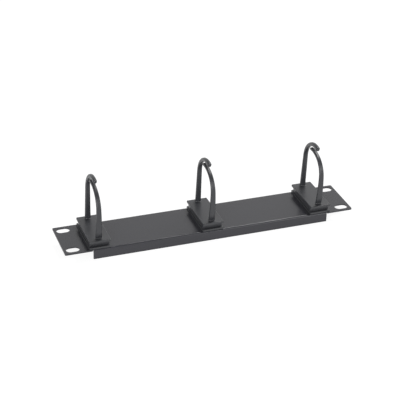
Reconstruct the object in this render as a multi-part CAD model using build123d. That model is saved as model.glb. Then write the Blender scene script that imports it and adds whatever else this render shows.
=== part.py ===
from build123d import *
from build123d import SkipClean
import os
from math import acos, cos, degrees, radians, sin

# Horizontal cable manager, one rack unit high, for a ten-inch rack. A folded steel panel carries three
# moulded plastic cable rings, each held by two screws with washers from behind.
# Millimetres. X runs along the panel and +Z points out of its front face, towards the rings.
# The origin is the centre of the four rack slots, on the rear plane of the ears that meets the rack rails.

# Panel: sheet, outline, rack slots
sheet = 1.2
panel_length = 252.0
panel_height = 43.7
panel_corner_radius = 1.0
slot_end_distance = 7.75
slot_spacing_y = 31.75
slot_length = 11.2
slot_width = 7.5

# Panel: the two long flanges, folded back between the ears
ear_width = 23.5
flange_depth = 8.6
bend_inner_radius = 0.5
relief_width = 0.5
relief_margin = 0.2

# Rings: places and base
ring_end_inset = 5.9
base_width = 18.0
base_margin = 0.65
base_height = 7.2
foot_flange_thickness = 1.6
top_plate_thickness = 1.5
waist_inset_side = 0.6
waist_inset_end = 2.6
base_corner_radius = 0.8
base_edge_radius = 0.35

# Rings: back leg, which leans in, bends over and ends as a blunt hook
ring_height = 56.5
hook_thickness = 3.4
hook_edge_inset = 1.9
hook_foot_width = 5.1
hook_tip_width = 3.4
hook_edge_radius = 1.45
hook_lean = 4.0
hook_shoulder_radius = 18.5
hook_crown_angle = 39.0
hook_crown_radius = 19.0
hook_dip_angle = 17.0
hook_tip_radius = 0.7

# Rings: front leg, a slim tongue that bows outward and tucks its tip under the hook
tongue_thickness = 2.25
tongue_edge_inset = 4.0
tongue_foot_width = 5.6
tongue_tip_width = 3.1
tongue_edge_radius = 0.95
tongue_bow_angle = 10.8
tongue_bow_height = 26.0
tongue_shoulder_radius = 16.0
tongue_crown_angle = 27.0
tongue_crown_radius = 23.0
cable_slit = 2.6
tongue_tip_clearance = 1.0
leg_roundest_share = 0.46
leg_root_radius = 0.6
leg_root_depth = 3.0

# Fixings: two screws with washers behind each ring
screw_spacing = 23.0
screw_diameter = 4.0
screw_length = 7.0
screw_point_length = 1.2
screw_head_diameter = 8.0
screw_head_height = 2.9
screw_head_radius = 1.6
recess_span = 4.4
recess_blade = 1.0
recess_depth = 1.7
recess_taper = 8.0
washer_diameter = 9.0
washer_thickness = 0.8
panel_hole_clearance = 0.25
washer_hole_clearance = 0.15
pilot_clearance = 0.05
pilot_spare_depth = 0.4

# Worked out from the sizes above
slot_spacing_x = panel_length - 2 * slot_end_distance
flange_length = panel_length - 2 * ear_width
ring_spacing = flange_length / 2 - ring_end_inset
face_z = sheet
bend_outer_radius = bend_inner_radius + sheet
flange_bottom = face_z - flange_depth
base_depth = panel_height - 2 * base_margin
base_top = face_z + base_height
screw_seat = -washer_thickness
screw_tip = screw_seat + screw_length
ring_places = {"left": -ring_spacing, "center": 0.0, "right": ring_spacing}
screw_rows = {"lower": -screw_spacing / 2, "upper": screw_spacing / 2}


def folded_channel():
    """The middle of the panel: its face and both flanges, as one bent section."""
    from_below = (Align.CENTER, Align.MIN)
    outer = Pos(0, flange_bottom) * Rectangle(panel_height, flange_depth, align=from_below)
    outer = fillet(outer.vertices().group_by(Axis.Y)[-1], bend_outer_radius)
    inner_width = panel_height - 2 * sheet
    inner = Pos(0, flange_bottom) * Rectangle(inner_width, flange_depth - sheet, align=from_below)
    inner = fillet(inner.vertices().group_by(Axis.Y)[-1], bend_inner_radius)
    return extrude(Plane.YZ * (outer - inner), flange_length / 2, both=True)


def face_panel():
    """Folded sheet with flat slotted ears, bend reliefs and the screw holes behind the rings.

    The ears' rear lies in one plane with the inside of the channel. Only the ears bear on the rails, so
    each keeps its seat as a face of its own, split off where the flanges end.
    """
    blank = fillet(Rectangle(panel_length, panel_height).vertices(), panel_corner_radius)
    ears = extrude(blank, sheet) - Box(flange_length, panel_height, 3 * sheet)
    with SkipClean():
        panel = ears + folded_channel()
        for cut in panel_cuts():
            panel -= cut
    return panel


def panel_cuts():
    """The bend reliefs, the rack slots and the screw holes behind the rings."""
    relief_x = (flange_length + relief_width) / 2
    relief_y = panel_height / 2
    relief_depth = 2 * (bend_outer_radius + relief_margin)
    relief = Box(relief_width, relief_depth, 3 * sheet)
    cuts = [place * relief for place in GridLocations(2 * relief_x, 2 * relief_y, 2, 2)]
    slot = extrude(SlotOverall(slot_length, slot_width), 2 * sheet, both=True)
    cuts += [place * slot for place in GridLocations(slot_spacing_x, slot_spacing_y, 2, 2)]
    hole = Cylinder(screw_diameter / 2 + panel_hole_clearance, 3 * sheet)
    for x in ring_places.values():
        cuts += [Pos(x, y, sheet / 2) * hole for y in screw_rows.values()]
    return cuts


def slab(width, depth, bottom, top):
    """A flat layer of the ring's base with rounded corners."""
    return Pos(0, 0, bottom) * extrude(RectangleRounded(width, depth, base_corner_radius), top - bottom)


def ring_base():
    """Foot flange on the panel, recessed waist and top plate."""
    flange_top = face_z + foot_flange_thickness
    plate_bottom = base_top - top_plate_thickness
    foot_flange = slab(base_width, base_depth, face_z, flange_top)
    waist_width = base_width - 2 * waist_inset_side
    waist_depth = base_depth - 2 * waist_inset_end
    waist = slab(waist_width, waist_depth, flange_top, plate_bottom)
    top_plate = slab(base_width, base_depth, plate_bottom, base_top)
    top_plate = fillet(top_plate.edges().group_by(Axis.Z)[-1], base_edge_radius)
    return foot_flange + waist + top_plate


def leg_outline(line, thickness):
    """Side view of a leg: its centre line with half the thickness on each side and a round end."""
    return make_face(offset(line, thickness / 2, side=Side.BOTH).edges())


def finger(outline, thickness, foot_width, tip_width, edge_radius):
    """A leg of the ring: its side view, narrowed from foot to tip, with all its edges rounded.

    The rounding is never more than the leg's thinnest section has room for.
    """
    side = extrude(Plane.YZ * outline, foot_width, both=True)
    low = base_top - leg_root_depth - thickness
    high = face_z + ring_height
    taper = make_face(
        Polyline(
            (-foot_width / 2, low),
            (foot_width / 2, low),
            (tip_width / 2, high),
            (-tip_width / 2, high),
            close=True,
        )
    )
    blade = side & extrude(Plane.XZ * taper, panel_height, both=True)
    faces_left_and_right = blade.faces().filter_by(lambda f: abs(f.normal_at().X) > 0.9)
    roundest = leg_roundest_share * min(thickness, tip_width)
    return fillet(faces_left_and_right.edges(), min(edge_radius, roundest))


def hook_line():
    """Centre line of the thick back leg: straight and leaning in, two arcs up to the crown, a short dip."""
    heading = 90 + hook_lean
    crown = 180 - hook_crown_angle
    foot_y = base_depth / 2 - hook_edge_inset - hook_thickness / 2
    crown_z = face_z + ring_height - hook_thickness / 2
    shoulder_rise = hook_shoulder_radius * (cos(radians(heading)) - cos(radians(crown)))
    crown_rise = hook_crown_radius * (cos(radians(crown)) + 1)
    straight = (crown_z - base_top - shoulder_rise - crown_rise) / sin(radians(heading))
    root = leg_root_depth / sin(radians(heading))
    start = (foot_y - root * cos(radians(heading)), base_top - leg_root_depth)
    leg = PolarLine(start, straight + root, heading)
    shoulder = JernArc(leg @ 1, leg % 1, hook_shoulder_radius, crown - heading)
    top = JernArc(shoulder @ 1, shoulder % 1, hook_crown_radius, hook_crown_angle + hook_dip_angle)
    return Curve() + [leg, shoulder, top]


def hook_outline():
    """Side view of the back leg. Its end is cut off square, which leaves the hook blunt."""
    line = hook_line()
    end = line.edges()[-1]
    outline = leg_outline(line, hook_thickness)
    outline = split(outline, bisect_by=Plane(end @ 1, z_dir=end % 1), keep=Keep.BOTTOM)
    corners = outline.vertices().sort_by_distance(end @ 1)[:2]
    return fillet(corners, min(hook_tip_radius, leg_roundest_share * hook_thickness))


def tongue_line():
    """Centre line of the slim front leg: bows outward, turns in and runs back under the hook.

    The tip stops short of the hook all round, so that the slit stays open and a cable can pass.
    """
    heading = 90 + tongue_bow_angle
    foot_y = tongue_edge_inset + tongue_thickness / 2 - base_depth / 2
    crown_z = face_z + ring_height - hook_thickness - cable_slit - tongue_thickness / 2
    crown_rise = tongue_crown_radius * (1 - cos(radians(tongue_crown_angle)))
    shoulder_rise = crown_z - crown_rise - base_top - tongue_bow_height
    shoulder_cos = cos(radians(tongue_crown_angle)) - shoulder_rise / tongue_shoulder_radius
    shoulder_heading = degrees(acos(shoulder_cos))
    bow_radius = tongue_bow_height / (shoulder_cos - cos(radians(heading)))
    root = leg_root_depth / sin(radians(heading))
    start = (foot_y - root * cos(radians(heading)), base_top - leg_root_depth)
    leg = PolarLine(start, root, heading)
    bow = JernArc(leg @ 1, leg % 1, bow_radius, shoulder_heading - heading)
    shoulder = JernArc(bow @ 1, bow % 1, tongue_shoulder_radius, tongue_crown_angle - shoulder_heading)
    onward = JernArc(shoulder @ 1, shoulder % 1, tongue_crown_radius, -(tongue_crown_angle + 90))
    reach = (hook_thickness + tongue_thickness) / 2 + tongue_tip_clearance
    keep_clear = leg_outline(hook_line(), 2 * reach)
    tip = (onward - keep_clear).edges().sort_by_distance(shoulder @ 1)[0]
    return Curve() + [leg, bow, shoulder, tip]


def cable_ring():
    """One moulding: base, back leg with its hook and front tongue, with blind pilot holes below."""
    ring = ring_base()
    hook = finger(hook_outline(), hook_thickness, hook_foot_width, hook_tip_width, hook_edge_radius)
    tongue_side = leg_outline(tongue_line(), tongue_thickness)
    tongue = finger(tongue_side, tongue_thickness, tongue_foot_width, tongue_tip_width, tongue_edge_radius)
    for leg in (hook, tongue):
        joined = ring + leg
        roots = [
            edge
            for edge in new_edges(ring, leg, combined=joined)
            if abs(edge.center().Z - base_top) < 0.01
        ]
        ring = fillet(roots, leg_root_radius)
    pilot_depth = screw_tip - face_z + pilot_spare_depth
    pilot = Pos(0, 0, face_z) * Cylinder(
        screw_diameter / 2 + pilot_clearance,
        pilot_depth,
        align=(Align.CENTER, Align.CENTER, Align.MIN),
    )
    for y in screw_rows.values():
        ring -= Pos(0, y) * pilot
    return ring


def ring_washer():
    """Flat washer against the rear of the sheet."""
    disc = Circle(washer_diameter / 2) - Circle(screw_diameter / 2 + washer_hole_clearance)
    return Pos(0, 0, screw_seat) * extrude(disc, washer_thickness)


def ring_screw():
    """Pan head screw, driven from behind: domed head, cross recess, plain shank and a blunt point."""
    shank = screw_diameter / 2
    head = screw_head_diameter / 2
    head_bottom = screw_seat - screw_head_height
    profile = make_face(
        Polyline(
            (0, head_bottom),
            (head, head_bottom),
            (head, screw_seat),
            (shank, screw_seat),
            (shank, screw_tip - screw_point_length),
            (shank / 2, screw_tip),
            (0, screw_tip),
            close=True,
        )
    )
    rim = profile.vertices().sort_by_distance((head, head_bottom))[0]
    body = revolve(Plane.XZ * fillet(rim, screw_head_radius), Axis.Z)
    cross = Rectangle(recess_span, recess_blade) + Rectangle(recess_blade, recess_span)
    recess = extrude(Pos(0, 0, head_bottom) * cross, recess_depth, taper=recess_taper)
    return body - recess


def save(shape, node):
    shape.label = node
    export_step(shape, f"parts/{node}.step")


os.makedirs("parts", exist_ok=True)
save(face_panel(), "face_panel")
for place, x in ring_places.items():
    save(Pos(x, 0) * cable_ring(), f"ring_{place}")
    for row, y in screw_rows.items():
        save(Pos(x, y) * ring_washer(), f"washer_{place}_{row}")
        save(Pos(x, y) * ring_screw(), f"screw_{place}_{row}")
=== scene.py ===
from math import radians

import bpy
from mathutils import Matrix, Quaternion, Vector


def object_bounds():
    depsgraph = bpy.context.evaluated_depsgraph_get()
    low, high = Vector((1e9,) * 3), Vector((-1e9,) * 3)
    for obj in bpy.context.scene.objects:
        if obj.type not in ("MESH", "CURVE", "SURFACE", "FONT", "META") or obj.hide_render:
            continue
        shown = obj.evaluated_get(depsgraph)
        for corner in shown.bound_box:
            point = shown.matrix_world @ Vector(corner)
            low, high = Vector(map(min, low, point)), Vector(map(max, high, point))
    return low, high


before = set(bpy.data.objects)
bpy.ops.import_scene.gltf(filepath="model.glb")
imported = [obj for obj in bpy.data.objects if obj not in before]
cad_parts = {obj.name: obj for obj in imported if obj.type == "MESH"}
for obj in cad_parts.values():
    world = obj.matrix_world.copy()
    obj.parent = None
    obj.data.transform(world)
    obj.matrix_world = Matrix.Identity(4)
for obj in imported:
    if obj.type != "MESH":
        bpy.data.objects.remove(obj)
cad_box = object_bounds()

# Camera. It stands in front and to the left of the panel, about 1.1 m away and looking down on it, with its
# right side tipped up slightly. Its lens is a short telephoto.
camera_place = Vector((-0.3290, -0.8817, 0.5429))
camera_aim = Vector((-0.0050, -0.0010, 0.0200))
camera_roll = radians(1.42)
camera_lens = 116.3
camera_sensor = 36.0
bpy.ops.object.select_all(action="DESELECT")
bpy.ops.object.camera_add(location=camera_place)
camera = bpy.context.object
camera.name = "photo_camera"
camera.data.lens = camera_lens
camera.data.sensor_width = camera_sensor
camera.rotation_mode = "QUATERNION"
level_view = (camera_aim - camera_place).to_track_quat("-Z", "Y")
camera.rotation_quaternion = level_view @ Quaternion((0, 0, 1), camera_roll)
bpy.context.scene.camera = camera


def linear(hex_colour):
    """An sRGB hex colour as the linear red, green, blue and alpha that the shader takes."""
    channels = [int(hex_colour[i:i + 2], 16) / 255 for i in (1, 3, 5)]
    return [c / 12.92 if c <= 0.04045 else ((c + 0.055) / 1.055) ** 2.4 for c in channels] + [1.0]


def add_node(material, kind, settings=None, inputs=None):
    """Adds one shader node. An input is given a plain value or another node's output."""
    node = material.node_tree.nodes.new(kind)
    for name, value in (settings or {}).items():
        setattr(node, name, value)
    for name, value in (inputs or {}).items():
        if isinstance(value, bpy.types.NodeSocket):
            material.node_tree.links.new(value, node.inputs[name])
        else:
            node.inputs[name].default_value = value
    return node


def new_material(name):
    """An empty node material with its output node."""
    material = bpy.data.materials.new(name)
    material.use_nodes = True
    material.node_tree.nodes.clear()
    return material, add_node(material, "ShaderNodeOutputMaterial")


mm_per_metre = 1000.0


def per_metre(size_mm):
    """Texture scale for a feature of this size, on coordinates in metres."""
    return mm_per_metre / size_mm


# Face panel. One folded sheet of mild steel, 1.2 mm thick, sprayed with polyester powder and baked. The
# coat is near black and flows out to a satin skin with a faint orange peel. The real pigment speck is finer
# than the picture can hold, so it is drawn at about one pixel.
powder_dark = linear("#28282d")
powder_light = linear("#303036")
powder_speck_mm = 0.9
powder_speck_detail = 3.0
powder_peel_mm = 1.6
powder_peel_detail = 2.0
powder_peel_depth_mm = 0.06
powder_peel_strength = 0.25
powder_roughness = 0.25
powder_ior = 1.5
powder_coat, output = new_material("powder_coated_steel_satin_black")
place = add_node(powder_coat, "ShaderNodeTexCoord")
speck = add_node(powder_coat, "ShaderNodeTexNoise", inputs={
    "Vector": place.outputs["Object"],
    "Scale": per_metre(powder_speck_mm),
    "Detail": powder_speck_detail,
})
tone = add_node(powder_coat, "ShaderNodeMix", {"data_type": "RGBA"}, {
    "Factor": speck.outputs["Fac"],
    "A": powder_dark,
    "B": powder_light,
})
peel = add_node(powder_coat, "ShaderNodeTexNoise", inputs={
    "Vector": place.outputs["Object"],
    "Scale": per_metre(powder_peel_mm),
    "Detail": powder_peel_detail,
})
relief = add_node(powder_coat, "ShaderNodeBump", inputs={
    "Height": peel.outputs["Fac"],
    "Strength": powder_peel_strength,
    "Distance": powder_peel_depth_mm / mm_per_metre,
})
skin = add_node(powder_coat, "ShaderNodeBsdfPrincipled", inputs={
    "Base Color": tone.outputs["Result"],
    "Roughness": powder_roughness,
    "IOR": powder_ior,
    "Normal": relief.outputs["Normal"],
})
powder_coat.node_tree.links.new(skin.outputs["BSDF"], output.inputs["Surface"])
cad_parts["face_panel"].material_slots[0].material = powder_coat


# Cable rings. Three mouldings of black-filled nylon, each with its base, hook and tongue in one shot. The
# mould is lightly spark eroded, which leaves a low gloss and a fine even grain, drawn coarser than it is, at
# just under one pixel, so that it shows. The flow of the plastic changes tone and gloss a little.
ring_dark = linear("#2c2d30")
ring_light = linear("#343539")
ring_flow_mm = 9.0
ring_flow_detail = 2.0
ring_flow_low = 0.3
ring_flow_high = 0.7
ring_grain_mm = 0.7
ring_grain_detail = 2.0
ring_grain_depth_mm = 0.03
ring_grain_strength = 0.12
ring_smoothest = 0.33
ring_roughest = 0.41
ring_ior = 1.53
moulded_nylon, output = new_material("moulded_nylon_charcoal")
place = add_node(moulded_nylon, "ShaderNodeTexCoord")
flow = add_node(moulded_nylon, "ShaderNodeTexNoise", inputs={
    "Vector": place.outputs["Object"],
    "Scale": per_metre(ring_flow_mm),
    "Detail": ring_flow_detail,
})
tone = add_node(moulded_nylon, "ShaderNodeMix", {"data_type": "RGBA"}, {
    "Factor": flow.outputs["Fac"],
    "A": ring_dark,
    "B": ring_light,
})
gloss = add_node(moulded_nylon, "ShaderNodeMapRange", inputs={
    "Value": flow.outputs["Fac"],
    "From Min": ring_flow_low,
    "From Max": ring_flow_high,
    "To Min": ring_smoothest,
    "To Max": ring_roughest,
})
grain = add_node(moulded_nylon, "ShaderNodeTexNoise", inputs={
    "Vector": place.outputs["Object"],
    "Scale": per_metre(ring_grain_mm),
    "Detail": ring_grain_detail,
})
relief = add_node(moulded_nylon, "ShaderNodeBump", inputs={
    "Height": grain.outputs["Fac"],
    "Strength": ring_grain_strength,
    "Distance": ring_grain_depth_mm / mm_per_metre,
})
skin = add_node(moulded_nylon, "ShaderNodeBsdfPrincipled", inputs={
    "Base Color": tone.outputs["Result"],
    "Roughness": gloss.outputs["Result"],
    "IOR": ring_ior,
    "Normal": relief.outputs["Normal"],
})
moulded_nylon.node_tree.links.new(skin.outputs["BSDF"], output.inputs["Surface"])
ring_places = ("left", "center", "right")
for side in ring_places:
    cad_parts[f"ring_{side}"].material_slots[0].material = moulded_nylon


# Screws and washers. Two pan head screws with flat washers hold each ring from behind. They are steel,
# barrel plated with bright zinc, which clouds a little from one patch to the next.
zinc_cool = linear("#b4b9be")
zinc_warm = linear("#c3c2bd")
zinc_cloud_mm = 2.5
zinc_cloud_detail = 3.0
zinc_cloud_low = 0.3
zinc_cloud_high = 0.7
zinc_smoothest = 0.24
zinc_roughest = 0.38
zinc_plate, output = new_material("bright_zinc_plated_steel")
place = add_node(zinc_plate, "ShaderNodeTexCoord")
cloud = add_node(zinc_plate, "ShaderNodeTexNoise", inputs={
    "Vector": place.outputs["Object"],
    "Scale": per_metre(zinc_cloud_mm),
    "Detail": zinc_cloud_detail,
})
tone = add_node(zinc_plate, "ShaderNodeMix", {"data_type": "RGBA"}, {
    "Factor": cloud.outputs["Fac"],
    "A": zinc_cool,
    "B": zinc_warm,
})
gloss = add_node(zinc_plate, "ShaderNodeMapRange", inputs={
    "Value": cloud.outputs["Fac"],
    "From Min": zinc_cloud_low,
    "From Max": zinc_cloud_high,
    "To Min": zinc_smoothest,
    "To Max": zinc_roughest,
})
plate = add_node(zinc_plate, "ShaderNodeBsdfPrincipled", inputs={
    "Base Color": tone.outputs["Result"],
    "Metallic": 1.0,
    "Roughness": gloss.outputs["Result"],
})
zinc_plate.node_tree.links.new(plate.outputs["BSDF"], output.inputs["Surface"])
for side in ring_places:
    for row in ("lower", "upper"):
        for kind in ("screw", "washer"):
            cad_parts[f"{kind}_{side}_{row}"].material_slots[0].material = zinc_plate


# Floor. A plain white sheet under the flange edges. Where the camera or a gloss looks at it, it is lifted
# so far that its open part is white, and only its darkest shading, the contact shadow, stays to be seen.
floor_side = 12.0
floor_colour = linear("#ececec")
floor_lift = 0.90
floor_shade = 0.20
floor_z = cad_box[0].z
bpy.ops.object.select_all(action="DESELECT")
bpy.ops.mesh.primitive_plane_add(size=floor_side, location=(0, 0, floor_z))
floor = bpy.context.object
floor.name = "floor"
floor_paper, output = new_material("white_paper_floor")
paper = add_node(floor_paper, "ShaderNodeBsdfDiffuse", inputs={"Color": floor_colour})
pale_paper = add_node(floor_paper, "ShaderNodeBsdfDiffuse", inputs={
    "Color": [floor_shade, floor_shade, floor_shade, 1.0],
})
lift = add_node(floor_paper, "ShaderNodeEmission", inputs={"Strength": floor_lift})
lifted = add_node(floor_paper, "ShaderNodeAddShader", inputs={
    0: pale_paper.outputs["BSDF"],
    1: lift.outputs["Emission"],
})
ray = add_node(floor_paper, "ShaderNodeLightPath")
seen = add_node(floor_paper, "ShaderNodeMath", {"operation": "MAXIMUM"}, {
    0: ray.outputs["Is Camera Ray"],
    1: ray.outputs["Is Glossy Ray"],
})
surface = add_node(floor_paper, "ShaderNodeMixShader", inputs={
    0: seen.outputs["Value"],
    1: paper.outputs["BSDF"],
    2: lifted.outputs["Shader"],
})
floor_paper.node_tree.links.new(surface.outputs["Shader"], output.inputs["Surface"])
floor.data.materials.append(floor_paper)


# Light. A broad key high behind on the right casts the soft shadows to the left of the bases. A broad fill
# low in front on the left lights the legs, and a weak smaller one in front on the right draws the line of
# light along the bend. Each has its place in metres, the side of its square in metres and its power in watts.
lights = {
    "key_light": (Vector((1.3, 0.9, 2.4)), 1.2, 42.0),
    "fill_light": (Vector((-1.6, -2.2, 0.9)), 1.2, 46.0),
    "edge_light": (Vector((0.9, -1.5, 0.8)), 0.7, 5.0),
}
for name, (light_place, light_side, power) in lights.items():
    bpy.ops.object.select_all(action="DESELECT")
    bpy.ops.object.light_add(type="AREA", location=light_place)
    light = bpy.context.object
    light.name = name
    light.data.size = light_side
    light.data.energy = power
    light.rotation_mode = "QUATERNION"
    light.rotation_quaternion = (-light_place).to_track_quat("-Z", "Y")


# Room. White walls round the object, seen as they are by the camera, through glass and in a gloss, and an
# even weak light otherwise. In a gloss the ceiling over the walls is dark, as that of a studio is. The two
# heights are those of a ray's direction, from 0 at level to 1 straight up.
room_strength = 0.30
wall_top = 0.60
ceiling_start = 0.75
ceiling_dimming = 0.80
room = bpy.data.worlds.new("pale_room")
bpy.context.scene.world = room
room.use_nodes = True
room.node_tree.nodes.clear()
ray = add_node(room, "ShaderNodeLightPath")
seen = add_node(room, "ShaderNodeMath", {"operation": "MAXIMUM"}, {
    0: ray.outputs["Is Camera Ray"],
    1: ray.outputs["Is Transmission Ray"],
})
seen = add_node(room, "ShaderNodeMath", {"operation": "MAXIMUM"}, {
    0: seen.outputs["Value"],
    1: ray.outputs["Is Glossy Ray"],
})
strength = add_node(room, "ShaderNodeMapRange", inputs={
    "Value": seen.outputs["Value"],
    "To Min": room_strength,
    "To Max": 1.0,
})
direction = add_node(room, "ShaderNodeTexCoord")
height = add_node(room, "ShaderNodeSeparateXYZ", inputs={"Vector": direction.outputs["Generated"]})
ceiling = add_node(room, "ShaderNodeMapRange", inputs={
    "Value": height.outputs["Z"],
    "From Min": wall_top,
    "From Max": ceiling_start,
    "To Min": 0.0,
    "To Max": ceiling_dimming,
})
dimming = add_node(room, "ShaderNodeMath", {"operation": "MULTIPLY"}, {
    0: ceiling.outputs["Result"],
    1: ray.outputs["Is Glossy Ray"],
})
strength = add_node(room, "ShaderNodeMath", {"operation": "SUBTRACT"}, {
    0: strength.outputs["Result"],
    1: dimming.outputs["Value"],
})
sky = add_node(room, "ShaderNodeBackground", inputs={
    "Color": linear("#ffffff"),
    "Strength": strength.outputs["Value"],
})
room_output = add_node(room, "ShaderNodeOutputWorld")
room.node_tree.links.new(sky.outputs["Background"], room_output.inputs["Surface"])
bpy.context.scene.view_settings.view_transform = "Standard"
